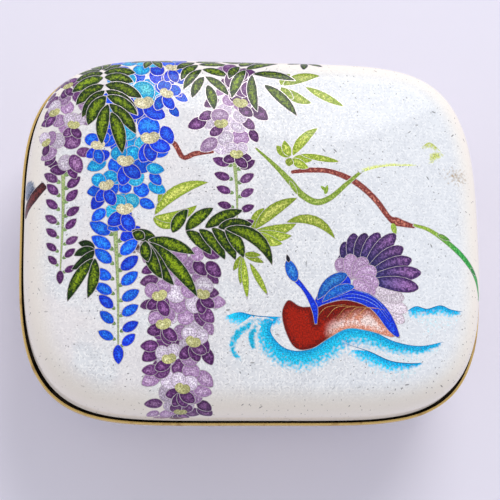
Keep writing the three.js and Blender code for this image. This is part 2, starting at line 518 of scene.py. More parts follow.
        def cover(points):
            nearest = np.linalg.norm(points[:, None] - edge[None], axis=2).argmin(1)
            faded = gap_to(points, edge) / np.maximum(reach[nearest], least)
            ends = np.minimum(nearest, len(edge) - 1 - nearest) * np.hypot(*(edge[1] - edge[0]))
            return strength * np.clip(1 - faded, 0, 1) ** 0.8 * np.clip(0.3 + ends / WASH_TAPER, 0, 1)

        self.field(np.vstack([near, (edge + away)[::-1]]), tone, 0, cover)

    def cloud(self, centre, radii, tone, strength):
        """An uneven, speckled patch that fades out all round."""
        turn = np.linspace(0, 2 * np.pi, 20, endpoint=False)
        centre, radii = np.array(centre, float), np.array(radii, float)
        shape = centre + radii * np.column_stack([np.cos(turn), np.sin(turn)])

        def cover(points):
            return strength * np.clip(1 - np.linalg.norm((points - centre) / radii, axis=1), 0, 1)

        self.field(shape, tone, 0, cover)


def changing(first, second, share_at):
    """A tone that changes from one to another, as a function of the place says."""

    def tone(points):
        share = np.clip(share_at(points), 0, 1)[:, None]
        return [linear(a) * (1 - share) + linear(b) * share for a, b in zip(first, second)]

    return tone


def draw_water(picture):
    """Waves under the bird: crisp crests, each with a wash that fades below it."""
    main = [(47.4, -29.4), (41.2, -30.6), (34.7, -29.6), (28.3, -26.9), (21.8, -26.2), (16.9, -29.3),
            (11.6, -32), (6.4, -31.4), (2.9, -27.6), (3.6, -24.2)]
    second = [(42, -34.8), (38, -35), (33.3, -34.4), (28.2, -32.2), (22, -30.2)]
    crest = [(5.8, -23.6), (-0.4, -23.4), (-5, -22.4), (-9, -23.6)]
    right = [(53, -21.4), (49.8, -21), (47, -20), (43.4, -21), (40.4, -20.4), (37.6, -22)]
    curl = [(-1, -24.4), (-5.4, -27.8), (-6.9, -31.4), (-4.4, -35)]
    small_curl = [(-0.4, -25.4), (-2, -28.4), (-1.4, -32.2)]
    for line, depth, tone, strength in (
        (main, (2, 5, 8, 10, 9.5, 8, 6.6, 5.4, 5, 3), WATER_PALE, 0.62),
        (second, (2, 5, 6, 6, 4), WATER_PALE, 0.6),
        (right, (3, 8, 9, 8, 4), WATER_PALE, 0.5),
        (crest, (4, 9, 10, 5), WATER_PALE, 0.6),
        (second, (0.9, 2, 3.8, 4.2, 3), WATER, 1.1),
        (crest, (2.4, 5, 4.8, 2), WATER, 1.15),
        (main, (0.9, 2.8, 4, 5.2, 6, 6.4, 6, 5.8, 5.6, 4.4), WATER, 1.2),
        (right, (1, 2.6, 3.6, 2.4, 4, 4.4), WATER, 1.05),
        (curl, (1.4, 1.4, 1.1, 0.8), WATER, 1.0),
        (small_curl, (1, 1.3, 1.2), WATER, 1.1),
    ):
        picture.wash(line, depth, tone, strength, both=line in (curl, small_curl))
    for line in (main, second, right, crest[:3]):
        picture.stroke(line, (0.08, 0.22, 0.24, 0.22, 0.08), WATER_LINE, 0)


def draw_bird(picture):
    """A water bird with a raised fan tail."""
    root = np.array([25.2, -14.2])
    feather = changing(TAIL_ROOT, TAIL, lambda points: np.linalg.norm(points - root, axis=1) / 9 - 0.55)
    for angle, length in zip(np.linspace(-62, -8, 6), (13, 15, 16, 15, 13, 11)):
        picture.petal(root, length, 4.2, angle, PLUME_PALE, THIN_WIRE,
                      base_form=0.9, tip_form=0.5, bend=-0.05)
    for angle in np.linspace(120, -5, 10):
        length = 16.6 - 8.4 * ((angle - 20) / 104) ** 2 + picture.random.uniform(-0.9, 0.9)
        picture.petal(root, length, 4.1, angle, feather, THIN_WIRE, base_form=1.4, tip_form=0.62, bend=0.03)
    for angle in (128, 96, 60, 26, -8, -34, -52):
        picture.petal(root + (-1, 0.4), 6.8, 4.2, angle, PLUME, THIN_WIRE, base_form=0.7, tip_form=0.5)
    body = [(9.4, -31.6), (6.8, -27.8), (5.7, -22.6), (7.4, -19.2), (10.6, -20.8), (14.4, -20.5), (20, -18.7),
            (27, -19.7), (32, -23.4), (34.6, -28.4), (28.2, -27), (22.6, -26.4), (17.8, -28.8), (13.6, -31.4)]
    breast = smooth([(20.6, -27.4), (23.6, -25.6), (27.4, -25), (32.6, -28)])
    body_tone = changing(BODY, BREAST, lambda points: 1.4 - gap_to(points, breast) / 3)
    wing = [(13.6, -21.6), (14.8, -17.8), (17.6, -13.6), (21, -11.6), (23.4, -13.4), (24.2, -16), (29, -17.6),
            (33.6, -22), (36.1, -28.4), (33.2, -27), (28.6, -21.4), (22.4, -19.2), (17, -20.2)]
    for outline, tone in ((body, body_tone), (wing, WING)):
        picture.field(smooth(outline, 5, True), tone)
    for base, tip, width in (((14.8, -19.2), (22.8, -12.4), 3.4), ((16, -19.8), (24.6, -15.6), 2.6)):
        picture.field(blade(base, tip, width, 0.8, 0.6, 0.1), WING_LIGHT, THIN_WIRE)
    for start in (14.6, 17.2, 19.8, 22.4, 25):
        line = [(start, -23.6), (start + 2.6, -21), (start + 7.4, -20.2 - 0.12 * (start - 14))]
        picture.stroke(line, (0.06, 0.15, 0.06), FINE_LINE, 0)
    for rise in (0.0, 0.9, 1.8):
        line = [(18 + rise, -19.6 + rise), (24, -18.4 + rise), (29.6, -20.2 + rise), (33.4, -24.6 + rise)]
        picture.stroke(line, (0.06, 0.14, 0.14, 0.06), WING_LINE, 0)
    neck = [(14.4, -25.4), (14.0, -21), (11.6, -16.6), (8.8, -13.4)]
    picture.stroke(neck, (0.7, 1.9, 1.2, 1.6), WING, THIN_WIRE)
    picture.field(blade((9.4, -14.6), (7.2, -8.8), 3.2, 0.55, 0.6), WING_LIGHT)
    picture.field(blade((7.7, -9.6), (7.1, -7.4), 1.1, 0.6, 1.0), BEAK, 0.1)


def draw_branches(picture):
    """Brown branches, a green vine and stems."""
    short = [(-24.4, 23), (-21.4, 21.6), (-19.2, 17.9), (-16, 19), (-11, 19.6)]
    picture.stroke(short, (1, 1.6, 1.5, 1.7, 1), BRANCH)
    long = [(8.4, 14.3), (13.6, 15), (19.2, 14.7), (25.6, 12), (30.6, 7.6), (34, 3), (36.2, 1.8), (41.2, 0.6)]
    picture.stroke(long, (1.1, 1.7, 1.6, 1.9, 1.8, 1.6, 2.6, 1.1), BRANCH)
    vine = [(-0.6, 21), (4.2, 16.4), (8.2, 12), (11.2, 8.4), (15, 6.4), (18.8, 7.7), (23, 11.4), (27, 14.9)]
    picture.stroke(vine, (0.7, 1.3, 1.9, 2, 1.9, 1.6, 1.3, 1), VINE, THIN_WIRE)
    picture.wash([(26.6, 14.6), (33.5, 16.6), (43, 17.2)], (1.3, 1.1, 0.6), VINE)
    picture.petal((8.2, 12), 4.4, 1.3, -62, VINE, THIN_WIRE)
    picture.petal((17.4, 8.6), 2.6, 1.1, 74, VINE, 0)
    picture.petal((17.6, 9.6), 1.8, 0.9, 138, VINE, 0)
    greener = changing(VINE, VINE_END, lambda points: (points[:, 0] - 45) / 7)
    arch = [(40.4, 1.2), (45, -0.2), (50, -3.6), (54.6, -7.8), (58.6, -12.4), (61, -18)]
    picture.stroke(arch, (0.9, 1.2, 1.5, 1.6, 1.6, 0.9), greener, THIN_WIRE)
    picture.petal((47, -1.2), 3.8, 1.4, -24, greener, THIN_WIRE)
    picture.petal((56, -9.6), 3.2, 1.3, -34, greener, THIN_WIRE)
    picture.petal((35, 1.4), 3.4, 1.5, -78, VINE, 0)
    picture.cloud((-60.6, 10.4), (3.6, 3.2), SLATE, 2.4)
    left = [(-62.6, 3.4), (-61, 5.8), (-58.2, 8), (-54.4, 11)]
    picture.stroke(left, (2.2, 3, 3.2, 2.4), DARK_BRANCH, THIN_WIRE)
    picture.wash([(49.4, 21), (46, 23.8), (43.2, 22)], (1.8, 2.4, 1.4), VINE, 0.85)
    picture.wash([(45.6, 17.6), (47, 20), (50, 20.6)], (0.8, 1.6, 0.8), VINE, both=True)


def draw_sprays(picture):
    """Light green leaf sprays."""
    sprays = (
        ((-27.2, 2.0), [(-20.4, 0.2), (-15.6, 5.2), (-12.6, 11.2)], 3.2, 0.14),
        ((-25.6, 5.4), [(-24.4, 10.4)], 1.6, 0.0),
        ((6.6, 38.6), [(9.5, 42.4), (17.4, 42), (14.8, 33.8), (10, 35)], 3.3, 0.08),
        ((12.6, 38.9), [(23.4, 33)], 2.5, 0.2),
        ((8.8, 18.4), [(5, 21.8), (7.2, 23.2), (16.2, 26.8), (15.2, 18.7), (13.4, 15.6), (8.2, 15.8)],
         3.0, 0.08),
        ((10.6, 19.4), [(21.8, 17.4)], 2.0, 0.22),
        ((-1.6, -1.6), [(1.6, 4.6), (10.2, 7.4), (9.8, 0.6), (8.6, -2.6), (6.2, -4.8)], 3.3, 0.08),
        ((6.4, 1.0), [(19.8, -3.4)], 2.8, 0.22),
        ((-4.2, -7.6), [(-6.6, -12), (-4.8, -15.6), (-3, -19.2), (1.4, -9.8), (0.6, -7.8)], 2.0, 0.0),
        ((-2.6, -9.4), [(2.2, -18.2)], 1.9, 0.14),
    )
    for base, tips, width, bend in sprays:
        picture.leaf(base, tips, width, SPRAY, THIN_WIRE, bend)


def draw_dark_leaves(picture):
    """Compound leaves of dark green enamel."""
    picture.fan((-40.4, 43.0), 30, 170, 4, (6, 7, 7), 3.6)
    picture.frond([(-39.9, 42.6), (-39.3, 36.4), (-37.8, 30.4)], 6, (8, 9.5, 10.5, 10.5, 12), 80, 3.6)
    picture.fan((-27, 49.8), 160, 380, 6, (6, 7, 6), 3.0)
    picture.frond([(-15.8, 47.6), (-14, 43.4), (-12.8, 38.6)], 4, (7, 8.5, 8, 7.6), 84, 3.0)
    for base, length, width, angle in (
        ((-6.4, 46.4), 4.6, 4.4, 270),
        ((-5.6, 42.8), 5.4, 4.6, 262),
        ((-2.4, 39.8), 4.8, 4.4, 285),
    ):
        picture.petal(base, length, width, angle, PURPLE["mid"], base_form=0.5, tip_form=0.5)
    picture.fan((-3.6, 46.8), 20, 150, 4, (7, 6, 6), 3.0)
    picture.frond([(-4.2, 45.4), (-1.6, 43), (2.2, 39.0)], 3, (6.4, 9.5, 11, 12.5), 88, 3.1)
    picture.fan((14, 50), 150, 320, 4, (5, 6, 6), 2.6)
    rachis = smooth([(-28.6, -4.2), (-23.4, -2.6), (-17, -1.4), (-10.4, -0.8), (-3.4, -2.2)], 4)
    above = ((2, 162, 6.5), (5, 58, 7.5), (7, 40, 9.5), (10, 26, 11), (12, 6, 9))
    below = ((7, -44, 9), (9, -50, 10.5), (11, -54, 10.5), (13, -58, 9))
    for side, bend in ((above, 0.06), (below, 0.08)):
        for step, angle, length in side:
            picture.petal(rachis[step], length, 3.4, angle, LEAF, base_form=0.7, tip_form=0.8, bend=bend)
    picture.field(blade(rachis[-4], (3.4, -10.6), 3.8, 0.7, 0.85, 0.2), LEAF)
    hanging = [(-32.2, -2.2), (-16.2, -7.8), (-15.6, -18.8), (-21.4, -15.8), (-24.4, -14.2), (-28, -9.8)]
    picture.leaf((-28.8, -3.8), hanging, 3.6)
    picture.leaf((-41.2, -6.2), [(-45.8, -4.6), (-46.8, -8), (-47.4, -11.6)], 3.0, DARK_LEAF)
    picture.leaf((-41.4, -8.0), [(-48.2, -19.8), (-43.2, -19)], 3.2, LEAF)


def draw_blossoms(picture, tones, blossoms):
    """Blossoms from the tip of a raceme up: heart, size, turn, banner, wings and number of lobes."""
    for heart, size, turn, banner, wings, lobes in blossoms:
        picture.blossom(heart, tones, size, turn, banner, wings, lobes)


def draw_blue_raceme(picture):
    """The blue raceme."""
    picture.tail((-36.4, -1), (-35.4, -31.6), BLUE, 8, 5.6, 124)
    axis = [(-35.2, 0, 3.4), (-35.4, 4, 7.5), (-33.6, 11, 9.6), (-32.5, 20, 10), (-30.5, 28, 8.6),
            (-28.4, 36, 10.4), (-28.2, 43, 10.4), (-28.6, 50, 9.6)]
    picture.bed(axis, BLUE, ("mid", "pale", "pale", "white", "deep"), 3.1, ("deep", "mid", "mid", "pale"))
    draw_blossoms(picture, BLUE, (
        ((-34.0, 3.6), 0.95, 4, "white", (-62, 30), 2),
        ((-38.6, 10.0), 0.85, 16, "pale", (-54, 12), 2),
        ((-34.0, 16.4), 0.95, 4, "pale", (-8, 40), 2),
        ((-41.0, 20.8), 0.8, 12, "mid", (-60, 0), 2),
        ((-27.6, 22.6), 1.05, -2, "mid", (-16, 18, 70), 1),
        ((-29.2, 32.4), 1.1, 0, "white", (-62, 64), 1),
        ((-23.6, 35.4), 0.8, -24, "mid", (6, 54), 2),
        ((-35.0, 38.4), 0.8, 10, "mid", (-34, 20), 1),
        ((-21.8, 43.6), 0.85, -10, "mid", (-24, 26), 2),
    ))


def draw_purple_racemes(picture):
    """The three purple racemes."""
    picture.tail((-49.8, 16.4), (-50.1, -12.6), PURPLE, 8, 4.2, 128)
    axis = [(-49.6, 14, 3.2), (-49, 20, 6.4), (-49.5, 27, 6.8), (-50, 35, 6), (-50, 42, 4.4)]
    picture.bed(axis, PURPLE, ("white", "pale", "mid"), 2.9, ("deep", "mid", "pale"))
    draw_blossoms(picture, PURPLE, (
        ((-54.4, 22.0), 0.6, 20, "white", (-40,), 1),
        ((-47.4, 26.4), 0.7, -6, "white", (-40, 44), 2),
        ((-52.6, 30.2), 0.72, 8, "white", (-50,), 1),
        ((-49.4, 38.4), 0.7, 14, "deep", (-30, 26), 2),
    ))
    picture.tail((-6.0, 17.8), (-5.5, -0.8), PURPLE, 5, 4.4, 114)
    axis = [(-6.4, 17.6, 4.4), (-6.8, 22, 8.4), (-6.8, 28, 10), (-5.6, 33, 7.6), (-5, 40, 5), (-5, 46, 4.6)]
    picture.bed(axis, PURPLE, ("white", "white", "pale"), 3.2, ("deep", "deep", "pale"), 0.35)
    draw_blossoms(picture, PURPLE, (
        ((-5.4, 18.6), 0.75, 0, "white", (-70, 40), 2),
        ((-9.2, 27.0), 0.8, 8, "pale", (-66,), 1),
        ((-4.2, 33.0), 0.85, -6, "mid", (50,), 2),
        ((-5.2, 39.4), 0.85, 0, "deep", (-34, 30), 2),
    ))
    axis = [(-19.8, -52.6, 6), (-20, -50, 8.4), (-20, -46, 9.6), (-20, -42, 8), (-20.4, -37, 8.8),
            (-20.8, -32, 10), (-20.6, -26, 9.6), (-20, -20, 10.8), (-19.6, -12, 10.4), (-20, -6, 9.4)]
    picture.bed(axis, PURPLE, ("white", "pale", "pale", "mid"), 3.2, ("deep", "mid", "pale"), 0.3)
    draw_blossoms(picture, PURPLE, (
        ((-19.6, -49.2), 0.75, 0, "mid", (-40, 0, 40), 2),
        ((-19.4, -42.0), 0.85, -6, "white", (-70, -24, 26, 66), 2),
        ((-22.6, -34.6), 0.8, 8, "white", (-70,), 2),
        ((-16.8, -30.4), 0.85, -14, "white", (-30, 48, 76), 2),
        ((-24.0, -26.0), 0.85, 10, "pale", (-84, 12, 40), 2),
        ((-25.0, -18.8), 0.85, 8, "pale", (-56, 22), 2),
        ((-14.4, -18.4), 0.8, -8, "white", (20, 60), 1),
    ))


def lid_picture():
    """The picture on the lid, from the undermost fields up."""
    picture = Picture(LID_PICTURE_SEED)
    picture.cloud((53, 14.8), (6, 4), SMUDGE, 0.55)
    draw_water(picture)
    draw_branches(picture)
    draw_sprays(picture)
    draw_bird(picture)
    draw_purple_racemes(picture)
    picture.cloud((-31.3, -5.6), (3.2, 3.0), RUST, 1.0)
    draw_blue_raceme(picture)
    draw_dark_leaves(picture)
    return picture


def side_picture():
    """The plainer picture round the box: small racemes and leaves that hang from its mouth.

    It is drawn on the strip of the box's side. Here x is the distance round and y the height from the
    bottom's edge.
    """
    picture = Picture(SIDE_PICTURE_SEED)
    top = box_shell.reach
    places = np.linspace(0, box_shell.perimeter, 9, endpoint=False) + box_shell.perimeter / 18
    for index, place in enumerate(places):
        tones = BLUE if index % 3 == 1 else PURPLE
        drop = picture.random.uniform(6, 9)
        x = place + picture.random.uniform(-3, 3)
        picture.tail((x, top - drop), (x + 1, top - drop - 11), tones, 4, 3.2)
        for rise, shift in ((0.5, 0.0), (4.2, -2.4), (4.8, 2.8)):
            picture.blossom((x + shift, top - drop + rise), tones, 0.7, shift * -6, "pale", (-46, 44))
        if index % 2:
            picture.fan((x + 6, top - 1), 200, 340, 5, (6, 9, 10, 8), 2.6)
        else:
            picture.fan((x - 7, top - 2), 205, 330, 4, (7, 9, 8), 2.5, SPRAY, THIN_WIRE)
    return picture


# Meshes.

ENAMEL, WIRES, INSIDE = 0, 1, 2

# Distances from a field's edge count up to here, which is past where its colour has turned light.
FARTHEST_GAP = 3


def new_object(name, data):
    """An object at the origin that holds a mesh, a camera or a lamp, put into the scene."""
    thing = bpy.data.objects.new(name, data)
    bpy.context.scene.collection.objects.link(thing)
    return thing


def new_mesh(name, points, faces, materials, kinds=0):
    """A smooth mesh from points in millimetres. The kinds number each face's material."""
    mesh = bpy.data.meshes.new(name)
    mesh.from_pydata((np.array(points) * MM).tolist(), [], faces)
    for material in materials:
        mesh.materials.append(material)
    mesh.polygons.foreach_set("material_index", np.broadcast_to(kinds, len(faces)).astype(np.int32))
    mesh.polygons.foreach_set("use_smooth", np.ones(len(faces), bool))
    return mesh


class Sheet:
    """Points and triangles, with what each corner carries, gathered before they become a mesh."""

    def __init__(self):
        self.points = np.zeros((0, 3))
        self.faces, self.kinds = [], []
        self.layers = {label: [] for label in ("normal", "chart", "deep", "light", "share")}

    def add_points(self, points):
        start = len(self.points)
        self.points = np.vstack([self.points, points])
        return start

    def add_faces(self, faces, kind, **layers):
        """Triangles turned to face along their normals. A layer that isn't given is all 0."""
        corners = self.points[faces]
        facing = np.cross(corners[:, 1] - corners[:, 0], corners[:, 2] - corners[:, 0])
        order = [0, 1, 2] if (facing * layers["normal"].mean(1)).sum() > 0 else [0, 2, 1]
        self.faces.append(faces[:, order])
        self.kinds.append(np.broadcast_to(kind, len(faces)))
        for label, store in self.layers.items():
            store.append(layers.get(label, np.zeros((len(faces), 3, 3)))[:, order])

    def to_piece(self, name, materials):
        """The mesh object, with its colours and chart places as corner attributes."""
        faces = np.concatenate(self.faces).tolist()
        mesh = new_mesh(name, self.points, faces, materials, np.concatenate(self.kinds))
        layers = {label: np.concatenate(store).reshape(-1, 3) for label, store in self.layers.items()}
        for label in ("deep", "light"):
            colours = np.column_stack([layers[label], np.ones(3 * len(faces))])
            layer = mesh.color_attributes.new(label, "FLOAT_COLOR", "CORNER")
            layer.data.foreach_set("color", colours.ravel())
        for label in ("chart", "share"):
            layer = mesh.attributes.new(label, "FLOAT_VECTOR", "CORNER")
            layer.data.foreach_set("vector", layers[label].ravel())
        mesh.normals_split_custom_set(layers["normal"])
        return new_object(name, mesh)


def loose_grid(low, high, seed):
    """Points of a grid in staggered rows, a little jittered."""
    rows = np.arange(low[1], high[1], GRID * math.sqrt(0.75))
    random = np.random.default_rng(seed)
    points = []
    for index, y in enumerate(rows):
        x = np.arange(low[0] + GRID / 2 * (index % 2), high[0], GRID)
        points.append(np.column_stack([x, np.full(len(x), y)]))
    points = np.vstack(points)
    return points + random.uniform(-GRID_JITTER, GRID_JITTER, points.shape)


def triangulate(border, loose, picture):
    """Triangles of a border's inside that follow every field, with each one's topmost field.

    Returns the picture, the points, the triangles, and for each triangle its field's number and whether
    it is wire. A field's number is -1 for the bare ground.
    """
    shapes, owners = [], []
    for number, (shape, _, wire, _) in enumerate(picture.fields):
        shapes.append(shape)
        owners.append((number, wire > 0))
        inner = inset(shape, wire) if wire else shape
        if wire and len(inner) > 3:
            shapes.append(inner)
            owners.append((number, False))
    edges, start = [], len(border)
    for shape in shapes:
        here = np.arange(len(shape))
        edges.append(start + np.column_stack([here, np.roll(here, -1)]))
        start += len(shape)
    points = np.vstack([border, *shapes, loose])
    border_face = [list(range(len(border)))]
    result = delaunay_2d_cdt(points.tolist(), np.vstack(edges).tolist(), border_face, 0, 1e-5, True)
    spots = np.array([tuple(spot) for spot in result[0]])
    faces = np.array([face for face, own in zip(result[2], result[5]) if own])
    numbers, wires = np.full(len(faces), -1), np.zeros(len(faces), bool)
    centres = spots[faces].mean(1)
    by_x = np.argsort(centres[:, 0])
    for shape, (number, is_wire) in zip(shapes, owners):
        low, high = shape.min(0), shape.max(0)
        first, last = np.searchsorted(centres[by_x, 0], (low[0], high[0]))
        near = by_x[first:last]
        near = near[(centres[near, 1] > low[1]) & (centres[near, 1] < high[1])]
        own = near[lies_inside(centres[near], shape)]
        numbers[own], wires[own] = number, is_wire
    return picture, spots, faces, numbers, wires


def corner_colours(picture, spots, faces, numbers, wires):
    """Each corner's two colours, and its distance from its field's edge with how full the colour is."""
    deep, light, share = np.zeros((3, len(faces), 3, 3))
    for number, (_, tone, _, fade) in enumerate(picture.fields):
        own = np.flatnonzero(numbers == number)
        if not len(own):
            continue
        shade = picture.random.uniform(0.78, 1.16)
        corners = spots[faces[own]].reshape(-1, 2)
        colours = tone(corners) if callable(tone) else [linear(tone[0])[None], linear(tone[1])[None]]
        for store, colour in zip((deep, light), colours):
            store[own] = np.broadcast_to(colour * shade, (len(corners), 3)).reshape(-1, 3, 3)
        share[own, :, 1] = 1.0 if fade is None else fade(corners).reshape(-1, 3)
    edged = np.array([fade is None for _, _, _, fade in picture.fields] + [False])
    lowest = np.full(len(spots), 10**6)
    highest = np.full(len(spots), -2)
    marks = np.where(edged[numbers], numbers, -1)
    np.minimum.at(lowest, faces.ravel(), np.repeat(marks, 3))
    np.maximum.at(highest, faces.ravel(), np.repeat(marks, 3))
    at_edge = lowest != highest
    at_edge[faces[wires].ravel()] = True
    tree = kdtree.KDTree(int(at_edge.sum()))
    for index, spot in enumerate(spots[at_edge]):
        tree.insert((spot[0], spot[1], 0), index)
    tree.balance()
    gap = np.array([tree.find((x, y, 0))[2] for x, y in spots])
    share[:, :, 0] = np.minimum(gap[faces], FARTHEST_GAP)
    return {"deep": deep, "light": light, "share": share}


def rim_loops(faces):
    """The loops of edges that only one triangle has, each as a list of points in order."""
    edges = np.vstack([faces[:, [0, 1]], faces[:, [1, 2]], faces[:, [2, 0]]])
    ordered = np.sort(edges, axis=1)
    _, first, count = np.unique(ordered, axis=0, return_index=True, return_counts=True)
    following = {int(a): int(b) for a, b in edges[first[count == 1]]}
    loops = []
    while following:
        loop = [next(iter(following))]
        while loop[-1] in following:
            loop.append(following.pop(loop[-1]))
        loops.append(loop[:-1])
    return loops


def join(sheet, first, second, normals, charts, kind):
    """Joins two rings of the same count. The normals and charts are those of each ring's points.

    A chart that counts the distance round starts again somewhere, and is carried on there.
    """
    count = len(first)
    normals, charts = normals.reshape(-1, 3), charts.reshape(-1, 3)
    around = np.ptp(charts[:, 0]) + GRID
    after = np.roll(np.arange(count), -1)
    here = np.arange(count)
    rings = np.vstack([first, second])
    ring_of = np.array([[0, 0, 1], [0, 1, 1]])
    step_of = np.array([[here, after, after], [here, after, here]])
    for rows, steps in zip(ring_of, step_of):
        pick = np.column_stack([row * count + step for row, step in zip(rows, steps)])
        places = charts[pick]
        places[..., 0] += np.round((places[:, :1, 0] - places[..., 0]) / around) * around
        sheet.add_faces(rings.ravel()[pick], kind, normal=normals[pick], chart=places)


def add_rings(sheet, start_ring, rings, normals, charts, kind):
    """Adds rings of points after a first ring that is there already. The first normals are for it."""
    previous = np.array(start_ring)
    for index, ring in enumerate(rings):
        start = sheet.add_points(ring)
        current = np.arange(start, start + len(ring))
        join(sheet, previous, current, normals[index : index + 2], charts[index : index + 2], kind)
        previous = current
    return previous


def add_cap(sheet, edge_ring, middle, normals_at, kind):
    """Fills a ring towards its middle point with smaller and smaller rings."""
    edge = sheet.points[edge_ring]
    rise = middle - edge[:, 2].mean()
    rings = []
    for spread in np.linspace(1, 0, CAP_RINGS + 1):
        ring = edge.copy()
        ring[:, :2] *= spread
        ring[:, 2] += rise * (1 - spread**2)
        rings.append(ring)
    normals = np.array([normals_at(ring) for ring in rings])
    charts = np.array(rings) * (1, 1, 0)
    last = add_rings(sheet, edge_ring, rings[1:-1], normals[:-1], charts[:-1], kind)
    centre = sheet.add_points(np.array([[0, 0, middle]]))
    faces = np.column_stack([last, np.roll(last, -1), np.full(len(last), centre)])
    normals, charts = (
        np.stack([values[-2], np.roll(values[-2], -1, axis=0), values[-1]], axis=1)
        for values in (normals, charts)
    )
    sheet.add_faces(faces, kind, normal=normals, chart=charts)


def add_inner_face(sheet, shell, loop, run):
    """The lip under a loop of outer points, and the inner face up to its middle."""
    downs = np.concatenate([[shell.reach], np.linspace(shell.arc, 0, RINGS_DOWN)])
    faces = [shell.face(run, np.full(len(run), down), WALL) for down in downs]
    faces[0][0][:, 2] = shell.lip_z
    flat = np.tile([0.0, 0.0, -float(shell.way)], (len(run), 1))
    rings = [ring for ring, _ in faces]
    charts = np.array([np.column_stack([run, np.full(len(run), down), np.zeros(len(run))]) for down in downs])
    start = sheet.add_points(rings[0])
    lip = np.arange(start, start + len(run))
    join(sheet, np.array(loop), lip, np.array([flat, flat]), charts[[0, 0]], INSIDE)
    normals = np.array([-normal for _, normal in faces])
    last = add_rings(sheet, lip, rings[1:], normals, charts, INSIDE)
    middle = shell.lip_z + shell.way * (shell.edge_height + shell.crown - WALL)

    def normals_at(ring):
        tilt = -2 * shell.crown * ring[:, :2] / np.maximum(np.hypot(*ring[:, :2].T), 1)[:, None] / HALF_WIDTH
        return unit(np.column_stack([tilt * shell.way, np.full(len(ring), -float(shell.way))]))

    add_cap(sheet, last, middle, normals_at, INSIDE)


def add_drawn_face(sheet, drawn, corners, normals, charts):
    """The outer face with its picture. The corners are the sheet's points that each triangle joins."""
    faces, wires = drawn[2], drawn[4]
    kinds = np.where(wires, WIRES, ENAMEL)
    sheet.add_faces(corners, kinds, normal=normals[faces], chart=charts[faces], **corner_colours(*drawn))


def make_lid(materials):
    """The lid: its picture over the crown, shoulder and side, its lip and its plain inside."""
    shell = lid_shell
    run = np.linspace(0, shell.perimeter, int(shell.perimeter / GRID), endpoint=False)
    point, outward = shell.at(run)
    beyond = shell.reach - shell.edge_inset
    border = point + outward * beyond
    high = border.max(0)
    loose = loose_grid(-high, high, LID_GRID_SEED)
    far = np.hypot(*loose.T) > HALF_WIDTH / 2
    outside = np.full(len(loose), -GRID)
    outside[far] = shell.nearest(loose[far])[1]
    drawn = triangulate(border, loose[outside < beyond - GRID / 2], lid_picture())
    spots, faces = drawn[1:3]
    space, normals, fall = shell.place(spots)
    sheet = Sheet()
    sheet.add_points(space)
    add_drawn_face(sheet, drawn, faces, normals, np.column_stack([spots, fall]))
    (loop,) = rim_loops(faces)
    sheet.points[loop, 2] = shell.lip_z
    add_inner_face(sheet, shell, loop, shell.nearest(spots[loop])[0])
    return sheet.to_piece("lid_enamel_shell", materials)


def make_box(materials):
    """The box: its picture round the side, its flat bottom, its lip and its plain inside."""
    shell = box_shell
    around = np.linspace(0, shell.perimeter, int(shell.perimeter / GRID) + 1)
    up = np.linspace(0, shell.reach, int(shell.reach / GRID) + 1)
    border = np.vstack([
        np.column_stack([around, 0 * around]),
        np.column_stack([0 * up + shell.perimeter, up])[1:-1],
        np.column_stack([around, 0 * around + shell.reach])[::-1],
        np.column_stack([0 * up, up])[-2:0:-1],
    ])
    margin = GRID / 2
    loose = loose_grid((margin, margin), (shell.perimeter - margin, shell.reach - margin), BOX_GRID_SEED)
    drawn = triangulate(border, loose, side_picture())
    spots, faces = drawn[1:3]
    ends = [np.flatnonzero(np.isclose(spots[:, 0], x)) for x in (0, shell.perimeter)]
    start, end = (own[np.argsort(spots[own, 1])] for own in ends)
    keep = np.setdiff1d(np.arange(len(spots)), end)
    joined = np.zeros(len(spots), int)
    joined[keep] = np.arange(len(keep))
    joined[end] = joined[start]
    space, normals = shell.face(*spots.T)
    sheet = Sheet()
    sheet.add_points(space[keep])
    charts = np.column_stack([spots, spots[:, 1] / shell.reach])
    add_drawn_face(sheet, drawn, joined[faces], normals, charts)
    spots = spots[keep]
    for loop in rim_loops(joined[faces]):
        if spots[loop, 1].mean() > shell.reach / 2:
            sheet.points[loop, 2] = shell.lip_z
            add_inner_face(sheet, shell, loop, spots[loop, 0])
        else:
            down = np.tile([0.0, 0.0, -1.0], (len(loop), 1))
            add_cap(sheet, loop, shell.lip_z - shell.edge_height, lambda ring: down, ENAMEL)
    return sheet.to_piece("box_enamel_shell", materials)


def band_piece(name, section, materials, wobble=0.0, gap_shadow_rows=()):
    """A metal band swept round the outline. The section lists each ring's short-side power, inset and z.

    The rows of faces that gap_shadow_rows names take the second material.
    """
    random = np.random.default_rng(RIM_SEED)
    here = np.arange(RIM_STEPS)
    after = np.roll(here, -1)
    turns = here / RIM_STEPS * 2 * np.pi
    waves = sum(np.sin(turns * beat + random.uniform(0, 6.3)) / beat**0.5 for beat in (7, 13, 29, 53))
    points, faces = [], []
    for row, (short_power, ring_inset, z) in enumerate(section):
        point, outward, _ = even_outline(RIM_STEPS, short_power)
        uneven = np.maximum(waves, 0) * wobble if ring_inset < 0 else 0 * waves
        points.append(np.column_stack([point - outward * (ring_inset + uneven)[:, None], 0 * here + z]))
        below, above = row * RIM_STEPS, (row + 1) % len(section) * RIM_STEPS
        faces.append(np.column_stack([below + here, below + after, above + after, above + here]))
    kinds = np.repeat([row in gap_shadow_rows for row in range(len(section))], RIM_STEPS)
    mesh = new_mesh(name, np.vstack(points), np.vstack(faces).tolist(), materials, kinds)
    mesh.set_sharp_from_angle(angle=SHARP_ANGLE)
    return new_object(name, mesh)


def rounding(power, centre_inset, centre_z, radius, first, last):
    """Section points along an arc between two angles in degrees."""
    angles = np.radians(np.linspace(first, last, ROUNDING_STEPS + 1))
    return [(power, centre_inset + radius * math.cos(a), centre_z + radius * math.sin(a)) for a in angles]


